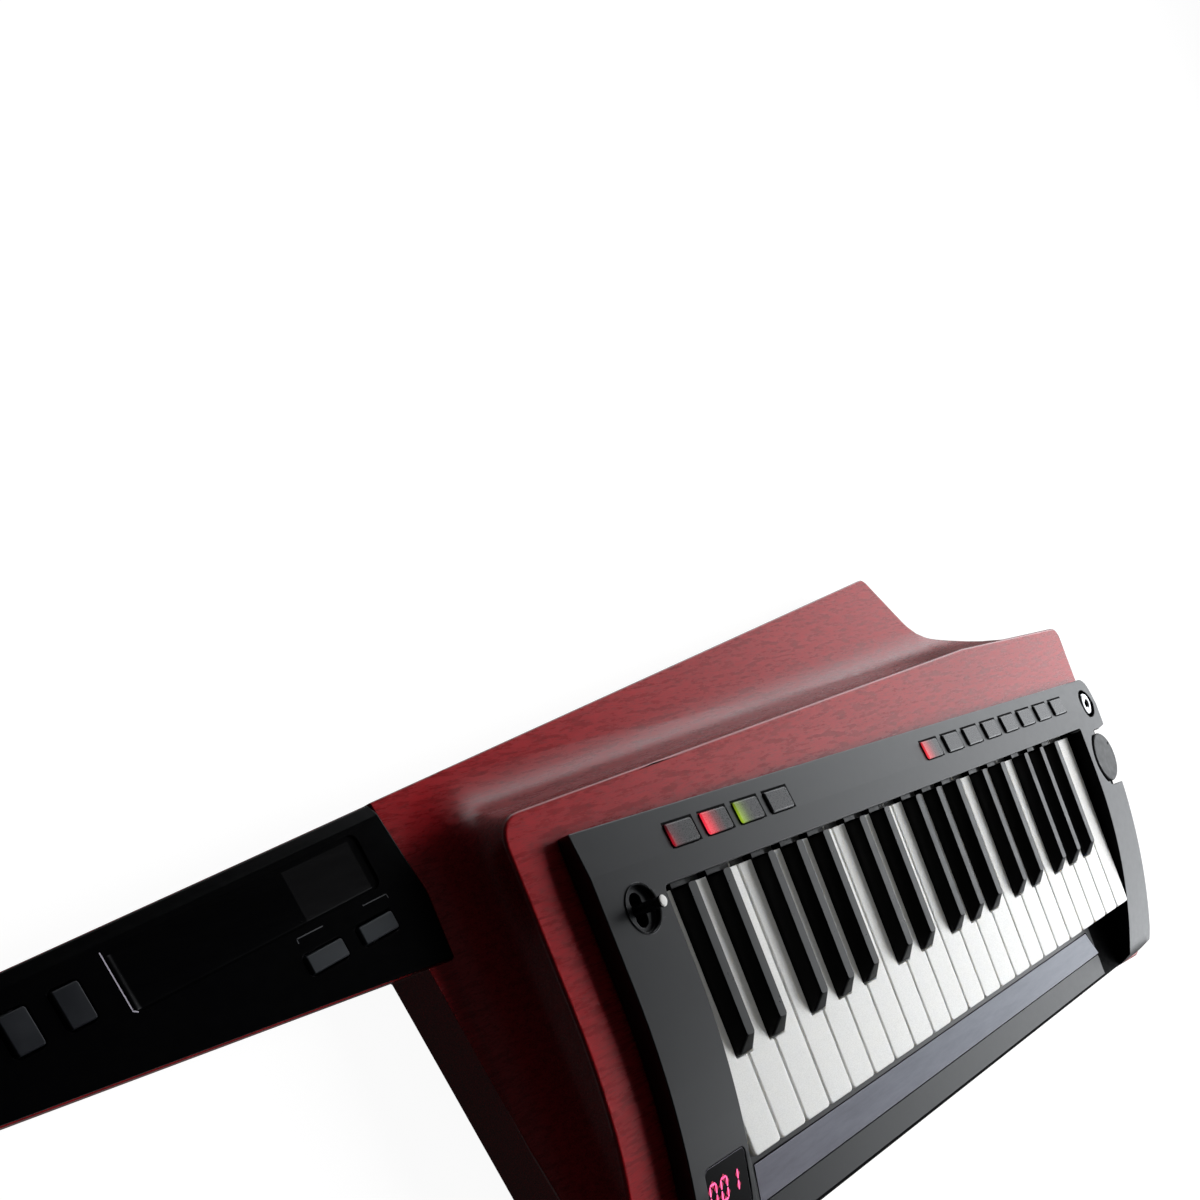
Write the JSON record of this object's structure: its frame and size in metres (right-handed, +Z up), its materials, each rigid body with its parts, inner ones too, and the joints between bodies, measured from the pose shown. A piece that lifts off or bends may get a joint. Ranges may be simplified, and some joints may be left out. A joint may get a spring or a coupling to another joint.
{
  "type": "keytar",
  "caption": "Strap-worn keyboard with a carved wooden body, curved dark panel, piano keys, push buttons, a dial and a touch-strip neck.",
  "frame": {"origin": "centre of the box on the surface it lies on, under its feet", "axes": "+X along the keys from low to high notes, away from the neck; +Y from the key fronts to the back edge; +Z up, out of the playing side"},
  "size_m": [0.833, 0.2732, 0.0685],
  "materials": {
    "wood": "stained dark red, glossy clear lacquer over fine grain",
    "panel": "dark grey satin",
    "cover": "near-black satin",
    "rear": "black, finely textured",
    "strip": "glossy purple-grey touch film",
    "lever": "black shaft with a white tip",
    "dial": "dark grey satin",
    "white_keys": "white, glossy",
    "black_keys": "black, satin",
    "buttons": "translucent grey satin, some lit"
  },
  "bodies": {
    "chassis": {"wood_body": "wood", "keyboard_panel": "panel", "neck_cover": "cover", "rear_chassis": "rear", "long_ribbon": "strip"},
    "white_key_01": {"white_key_01": "white_keys"},
    "white_key_02": {"white_key_02": "white_keys"},
    "white_key_03": {"white_key_03": "white_keys"},
    "white_key_04": {"white_key_04": "white_keys"},
    "white_key_05": {"white_key_05": "white_keys"},
    "white_key_06": {"white_key_06": "white_keys"},
    "white_key_07": {"white_key_07": "white_keys"},
    "white_key_08": {"white_key_08": "white_keys"},
    "white_key_09": {"white_key_09": "white_keys"},
    "white_key_10": {"white_key_10": "white_keys"},
    "white_key_11": {"white_key_11": "white_keys"},
    "white_key_12": {"white_key_12": "white_keys"},
    "white_key_13": {"white_key_13": "white_keys"},
    "white_key_14": {"white_key_14": "white_keys"},
    "white_key_15": {"white_key_15": "white_keys"},
    "white_key_16": {"white_key_16": "white_keys"},
    "white_key_17": {"white_key_17": "white_keys"},
    "white_key_18": {"white_key_18": "white_keys"},
    "white_key_19": {"white_key_19": "white_keys"},
    "white_key_20": {"white_key_20": "white_keys"},
    "white_key_21": {"white_key_21": "white_keys"},
    "white_key_22": {"white_key_22": "white_keys"},
    "black_key_01": {"black_key_01": "black_keys"},
    "black_key_02": {"black_key_02": "black_keys"},
    "black_key_03": {"black_key_03": "black_keys"},
    "black_key_04": {"black_key_04": "black_keys"},
    "black_key_05": {"black_key_05": "black_keys"},
    "black_key_06": {"black_key_06": "black_keys"},
    "black_key_07": {"black_key_07": "black_keys"},
    "black_key_08": {"black_key_08": "black_keys"},
    "black_key_09": {"black_key_09": "black_keys"},
    "black_key_10": {"black_key_10": "black_keys"},
    "black_key_11": {"black_key_11": "black_keys"},
    "black_key_12": {"black_key_12": "black_keys"},
    "black_key_13": {"black_key_13": "black_keys"},
    "black_key_14": {"black_key_14": "black_keys"},
    "black_key_15": {"black_key_15": "black_keys"},
    "function_button_01": {"function_button_01": "buttons"},
    "function_button_02": {"function_button_02": "buttons"},
    "function_button_03": {"function_button_03": "buttons"},
    "function_button_04": {"function_button_04": "buttons"},
    "preset_button_01": {"preset_button_01": "buttons"},
    "preset_button_02": {"preset_button_02": "buttons"},
    "preset_button_03": {"preset_button_03": "buttons"},
    "preset_button_04": {"preset_button_04": "buttons"},
    "preset_button_05": {"preset_button_05": "buttons"},
    "preset_button_06": {"preset_button_06": "buttons"},
    "preset_button_07": {"preset_button_07": "buttons"},
    "preset_button_08": {"preset_button_08": "buttons"},
    "octave_button_01": {"octave_button_01": "buttons"},
    "octave_button_02": {"octave_button_02": "buttons"},
    "ribbon_mode_button_01": {"ribbon_mode_button_01": "buttons"},
    "ribbon_mode_button_02": {"ribbon_mode_button_02": "buttons"},
    "selector_lever": {"selector_lever": "lever"},
    "volume_dial": {"volume_dial": "dial"}
  },
  "joints": [
    {"name": "white_key_01_press", "type": "hinge", "parent": "chassis", "child": "white_key_01", "pos_m": [-0.07785, 0.03314, 0.0375], "axis": [1, 0, 0], "range_deg": [0, 3.2], "stiffness_Nm_per_rad": 0.5, "springref_deg": -8.59},
    {"name": "white_key_02_press", "type": "hinge", "parent": "chassis", "child": "white_key_02", "pos_m": [-0.05755, 0.03314, 0.0375], "axis": [1, 0, 0], "range_deg": [0, 3.2], "stiffness_Nm_per_rad": 0.5, "springref_deg": -8.59},
    {"name": "white_key_03_press", "type": "hinge", "parent": "chassis", "child": "white_key_03", "pos_m": [-0.03725, 0.03314, 0.0375], "axis": [1, 0, 0], "range_deg": [0, 3.2], "stiffness_Nm_per_rad": 0.5, "springref_deg": -8.59},
    {"name": "white_key_04_press", "type": "hinge", "parent": "chassis", "child": "white_key_04", "pos_m": [-0.01695, 0.03314, 0.0375], "axis": [1, 0, 0], "range_deg": [0, 3.2], "stiffness_Nm_per_rad": 0.5, "springref_deg": -8.59},
    {"name": "white_key_05_press", "type": "hinge", "parent": "chassis", "child": "white_key_05", "pos_m": [0.00335, 0.03314, 0.0375], "axis": [1, 0, 0], "range_deg": [0, 3.2], "stiffness_Nm_per_rad": 0.5, "springref_deg": -8.59},
    {"name": "white_key_06_press", "type": "hinge", "parent": "chassis", "child": "white_key_06", "pos_m": [0.02365, 0.03314, 0.0375], "axis": [1, 0, 0], "range_deg": [0, 3.2], "stiffness_Nm_per_rad": 0.5, "springref_deg": -8.59},
    {"name": "white_key_07_press", "type": "hinge", "parent": "chassis", "child": "white_key_07", "pos_m": [0.04395, 0.03314, 0.0375], "axis": [1, 0, 0], "range_deg": [0, 3.2], "stiffness_Nm_per_rad": 0.5, "springref_deg": -8.59},
    {"name": "white_key_08_press", "type": "hinge", "parent": "chassis", "child": "white_key_08", "pos_m": [0.06425, 0.03314, 0.0375], "axis": [1, 0, 0], "range_deg": [0, 3.2], "stiffness_Nm_per_rad": 0.5, "springref_deg": -8.59},
    {"name": "white_key_09_press", "type": "hinge", "parent": "chassis", "child": "white_key_09", "pos_m": [0.08455, 0.03314, 0.0375], "axis": [1, 0, 0], "range_deg": [0, 3.2], "stiffness_Nm_per_rad": 0.5, "springref_deg": -8.59},
    {"name": "white_key_10_press", "type": "hinge", "parent": "chassis", "child": "white_key_10", "pos_m": [0.10485, 0.03314, 0.0375], "axis": [1, 0, 0], "range_deg": [0, 3.2], "stiffness_Nm_per_rad": 0.5, "springref_deg": -8.59},
    {"name": "white_key_11_press", "type": "hinge", "parent": "chassis", "child": "white_key_11", "pos_m": [0.12515, 0.03314, 0.0375], "axis": [1, 0, 0], "range_deg": [0, 3.2], "stiffness_Nm_per_rad": 0.5, "springref_deg": -8.59},
    {"name": "white_key_12_press", "type": "hinge", "parent": "chassis", "child": "white_key_12", "pos_m": [0.14545, 0.03314, 0.0375], "axis": [1, 0, 0], "range_deg": [0, 3.2], "stiffness_Nm_per_rad": 0.5, "springref_deg": -8.59},
    {"name": "white_key_13_press", "type": "hinge", "parent": "chassis", "child": "white_key_13", "pos_m": [0.16575, 0.03314, 0.0375], "axis": [1, 0, 0], "range_deg": [0, 3.2], "stiffness_Nm_per_rad": 0.5, "springref_deg": -8.59},
    {"name": "white_key_14_press", "type": "hinge", "parent": "chassis", "child": "white_key_14", "pos_m": [0.18605, 0.03314, 0.0375], "axis": [1, 0, 0], "range_deg": [0, 3.2], "stiffness_Nm_per_rad": 0.5, "springref_deg": -8.59},
    {"name": "white_key_15_press", "type": "hinge", "parent": "chassis", "child": "white_key_15", "pos_m": [0.20635, 0.03314, 0.0375], "axis": [1, 0, 0], "range_deg": [0, 3.2], "stiffness_Nm_per_rad": 0.5, "springref_deg": -8.59},
    {"name": "white_key_16_press", "type": "hinge", "parent": "chassis", "child": "white_key_16", "pos_m": [0.22665, 0.03314, 0.0375], "axis": [1, 0, 0], "range_deg": [0, 3.2], "stiffness_Nm_per_rad": 0.5, "springref_deg": -8.59},
    {"name": "white_key_17_press", "type": "hinge", "parent": "chassis", "child": "white_key_17", "pos_m": [0.24695, 0.03314, 0.0375], "axis": [1, 0, 0], "range_deg": [0, 3.2], "stiffness_Nm_per_rad": 0.5, "springref_deg": -8.59},
    {"name": "white_key_18_press", "type": "hinge", "parent": "chassis", "child": "white_key_18", "pos_m": [0.26725, 0.03314, 0.0375], "axis": [1, 0, 0], "range_deg": [0, 3.2], "stiffness_Nm_per_rad": 0.5, "springref_deg": -8.59},
    {"name": "white_key_19_press", "type": "hinge", "parent": "chassis", "child": "white_key_19", "pos_m": [0.28755, 0.03314, 0.0375], "axis": [1, 0, 0], "range_deg": [0, 3.2], "stiffness_Nm_per_rad": 0.5, "springref_deg": -8.59},
    {"name": "white_key_20_press", "type": "hinge", "parent": "chassis", "child": "white_key_20", "pos_m": [0.30785, 0.03314, 0.0375], "axis": [1, 0, 0], "range_deg": [0, 3.2], "stiffness_Nm_per_rad": 0.5, "springref_deg": -8.59},
    {"name": "white_key_21_press", "type": "hinge", "parent": "chassis", "child": "white_key_21", "pos_m": [0.32815, 0.03314, 0.0375], "axis": [1, 0, 0], "range_deg": [0, 3.2], "stiffness_Nm_per_rad": 0.5, "springref_deg": -8.59},
    {"name": "white_key_22_press", "type": "hinge", "parent": "chassis", "child": "white_key_22", "pos_m": [0.34845, 0.03314, 0.0375], "axis": [1, 0, 0], "range_deg": [0, 3.2], "stiffness_Nm_per_rad": 0.5, "springref_deg": -8.59},
    {"name": "black_key_01_press", "type": "hinge", "parent": "chassis", "child": "black_key_01", "pos_m": [-0.0701, 0.03314, 0.0375], "axis": [1, 0, 0], "range_deg": [0, 3.2], "stiffness_Nm_per_rad": 0.4, "springref_deg": -8.59},
    {"name": "black_key_02_press", "type": "hinge", "parent": "chassis", "child": "black_key_02", "pos_m": [-0.04501, 0.03314, 0.0375], "axis": [1, 0, 0], "range_deg": [0, 3.2], "stiffness_Nm_per_rad": 0.4, "springref_deg": -8.59},
    {"name": "black_key_03_press", "type": "hinge", "parent": "chassis", "child": "black_key_03", "pos_m": [-0.01035, 0.03314, 0.0375], "axis": [1, 0, 0], "range_deg": [0, 3.2], "stiffness_Nm_per_rad": 0.4, "springref_deg": -8.59},
    {"name": "black_key_04_press", "type": "hinge", "parent": "chassis", "child": "black_key_04", "pos_m": [0.0135, 0.03314, 0.0375], "axis": [1, 0, 0], "range_deg": [0, 3.2], "stiffness_Nm_per_rad": 0.4, "springref_deg": -8.59},
    {"name": "black_key_05_press", "type": "hinge", "parent": "chassis", "child": "black_key_05", "pos_m": [0.03735, 0.03314, 0.0375], "axis": [1, 0, 0], "range_deg": [0, 3.2], "stiffness_Nm_per_rad": 0.4, "springref_deg": -8.59},
    {"name": "black_key_06_press", "type": "hinge", "parent": "chassis", "child": "black_key_06", "pos_m": [0.072, 0.03314, 0.0375], "axis": [1, 0, 0], "range_deg": [0, 3.2], "stiffness_Nm_per_rad": 0.4, "springref_deg": -8.59},
    {"name": "black_key_07_press", "type": "hinge", "parent": "chassis", "child": "black_key_07", "pos_m": [0.0971, 0.03314, 0.0375], "axis": [1, 0, 0], "range_deg": [0, 3.2], "stiffness_Nm_per_rad": 0.4, "springref_deg": -8.59},
    {"name": "black_key_08_press", "type": "hinge", "parent": "chassis", "child": "black_key_08", "pos_m": [0.13175, 0.03314, 0.0375], "axis": [1, 0, 0], "range_deg": [0, 3.2], "stiffness_Nm_per_rad": 0.4, "springref_deg": -8.59},
    {"name": "black_key_09_press", "type": "hinge", "parent": "chassis", "child": "black_key_09", "pos_m": [0.1556, 0.03314, 0.0375], "axis": [1, 0, 0], "range_deg": [0, 3.2], "stiffness_Nm_per_rad": 0.4, "springref_deg": -8.59},
    {"name": "black_key_10_press", "type": "hinge", "parent": "chassis", "child": "black_key_10", "pos_m": [0.17945, 0.03314, 0.0375], "axis": [1, 0, 0], "range_deg": [0, 3.2], "stiffness_Nm_per_rad": 0.4, "springref_deg": -8.59},
    {"name": "black_key_11_press", "type": "hinge", "parent": "chassis", "child": "black_key_11", "pos_m": [0.2141, 0.03314, 0.0375], "axis": [1, 0, 0], "range_deg": [0, 3.2], "stiffness_Nm_per_rad": 0.4, "springref_deg": -8.59},
    {"name": "black_key_12_press", "type": "hinge", "parent": "chassis", "child": "black_key_12", "pos_m": [0.23919, 0.03314, 0.0375], "axis": [1, 0, 0], "range_deg": [0, 3.2], "stiffness_Nm_per_rad": 0.4, "springref_deg": -8.59},
    {"name": "black_key_13_press", "type": "hinge", "parent": "chassis", "child": "black_key_13", "pos_m": [0.27385, 0.03314, 0.0375], "axis": [1, 0, 0], "range_deg": [0, 3.2], "stiffness_Nm_per_rad": 0.4, "springref_deg": -8.59},
    {"name": "black_key_14_press", "type": "hinge", "parent": "chassis", "child": "black_key_14", "pos_m": [0.2977, 0.03314, 0.0375], "axis": [1, 0, 0], "range_deg": [0, 3.2], "stiffness_Nm_per_rad": 0.4, "springref_deg": -8.59},
    {"name": "black_key_15_press", "type": "hinge", "parent": "chassis", "child": "black_key_15", "pos_m": [0.32155, 0.03314, 0.0375], "axis": [1, 0, 0], "range_deg": [0, 3.2], "stiffness_Nm_per_rad": 0.4, "springref_deg": -8.59},
    {"name": "function_button_01_push", "type": "slide", "parent": "chassis", "child": "function_button_01", "axis": [0, -0.1233, -0.9924], "range_m": [0, 0.001], "stiffness_N_per_m": 400, "springref_m": -0.001},
    {"name": "function_button_02_push", "type": "slide", "parent": "chassis", "child": "function_button_02", "axis": [0, -0.1233, -0.9924], "range_m": [0, 0.001], "stiffness_N_per_m": 400, "springref_m": -0.001},
    {"name": "function_button_03_push", "type": "slide", "parent": "chassis", "child": "function_button_03", "axis": [0, -0.1233, -0.9924], "range_m": [0, 0.001], "stiffness_N_per_m": 400, "springref_m": -0.001},
    {"name": "function_button_04_push", "type": "slide", "parent": "chassis", "child": "function_button_04", "axis": [0, -0.1233, -0.9924], "range_m": [0, 0.001], "stiffness_N_per_m": 400, "springref_m": -0.001},
    {"name": "preset_button_01_push", "type": "slide", "parent": "chassis", "child": "preset_button_01", "axis": [0, -0.1233, -0.9924], "range_m": [0, 0.001], "stiffness_N_per_m": 400, "springref_m": -0.001},
    {"name": "preset_button_02_push", "type": "slide", "parent": "chassis", "child": "preset_button_02", "axis": [0, -0.1233, -0.9924], "range_m": [0, 0.001], "stiffness_N_per_m": 400, "springref_m": -0.001},
    {"name": "preset_button_03_push", "type": "slide", "parent": "chassis", "child": "preset_button_03", "axis": [0, -0.1233, -0.9924], "range_m": [0, 0.001], "stiffness_N_per_m": 400, "springref_m": -0.001},
    {"name": "preset_button_04_push", "type": "slide", "parent": "chassis", "child": "preset_button_04", "axis": [0, -0.1233, -0.9924], "range_m": [0, 0.001], "stiffness_N_per_m": 400, "springref_m": -0.001},
    {"name": "preset_button_05_push", "type": "slide", "parent": "chassis", "child": "preset_button_05", "axis": [0, -0.1233, -0.9924], "range_m": [0, 0.001], "stiffness_N_per_m": 400, "springref_m": -0.001},
    {"name": "preset_button_06_push", "type": "slide", "parent": "chassis", "child": "preset_button_06", "axis": [0, -0.1233, -0.9924], "range_m": [0, 0.001], "stiffness_N_per_m": 400, "springref_m": -0.001},
    {"name": "preset_button_07_push", "type": "slide", "parent": "chassis", "child": "preset_button_07", "axis": [0, -0.1233, -0.9924], "range_m": [0, 0.001], "stiffness_N_per_m": 400, "springref_m": -0.001},
    {"name": "preset_button_08_push", "type": "slide", "parent": "chassis", "child": "preset_button_08", "axis": [0, -0.1233, -0.9924], "range_m": [0, 0.001], "stiffness_N_per_m": 400, "springref_m": -0.001},
    {"name": "octave_button_01_push", "type": "slide", "parent": "chassis", "child": "octave_button_01", "axis": [0, 0, -1], "range_m": [0, 0.001], "stiffness_N_per_m": 400, "springref_m": -0.001},
    {"name": "octave_button_02_push", "type": "slide", "parent": "chassis", "child": "octave_button_02", "axis": [0, 0, -1], "range_m": [0, 0.001], "stiffness_N_per_m": 400, "springref_m": -0.001},
    {"name": "ribbon_mode_button_01_push", "type": "slide", "parent": "chassis", "child": "ribbon_mode_button_01", "axis": [0, 0, -1], "range_m": [0, 0.001], "stiffness_N_per_m": 400, "springref_m": -0.001},
    {"name": "ribbon_mode_button_02_push", "type": "slide", "parent": "chassis", "child": "ribbon_mode_button_02", "axis": [0, 0, -1], "range_m": [0, 0.001], "stiffness_N_per_m": 400, "springref_m": -0.001},
    {"name": "selector_lever_tilt", "type": "hinge", "parent": "chassis", "child": "selector_lever", "pos_m": [-0.1067, 0.01104, 0.0445], "axis": [1, 0, 0], "range_deg": [-10, 10], "stiffness_Nm_per_rad": 0.05},
    {"name": "volume_dial_turn", "type": "hinge", "parent": "chassis", "child": "volume_dial", "pos_m": [0.385, -0.00606, 0.0545], "axis": [0, 0, 1], "range_deg": [-150, 150]}
  ]
}
